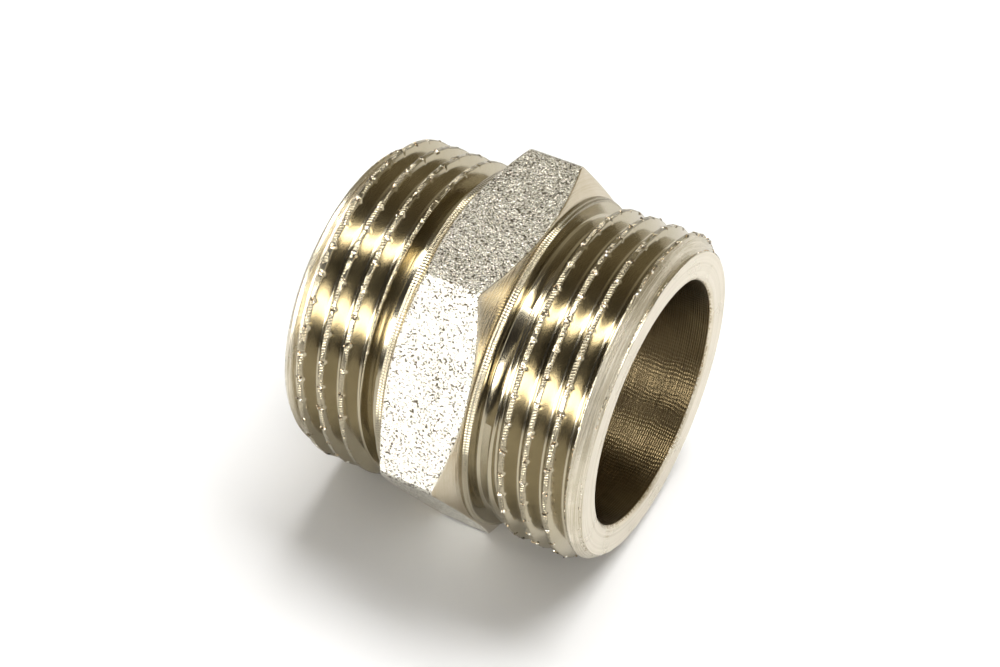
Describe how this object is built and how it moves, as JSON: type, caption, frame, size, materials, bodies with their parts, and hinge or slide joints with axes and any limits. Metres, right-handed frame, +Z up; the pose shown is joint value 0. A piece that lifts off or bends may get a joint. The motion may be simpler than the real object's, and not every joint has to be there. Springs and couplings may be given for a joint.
{
  "type": "hex nipple",
  "caption": "Male to male pipe nipple with a hexagon between two parallel pipe threads and a plain bore through it.",
  "frame": {"origin": "middle of the hexagon on the bore's axis", "axes": "+X along the bore's axis, +Z up through a flat of the hexagon, +Y across two of its corners"},
  "size_m": [0.032, 0.039, 0.034],
  "materials": {
    "nickel_plated_brass": "nickel plated, turned threads and blasted hexagon flats"
  },
  "bodies": {
    "root": {"nipple_body": "nickel_plated_brass"}
  },
  "joints": []
}
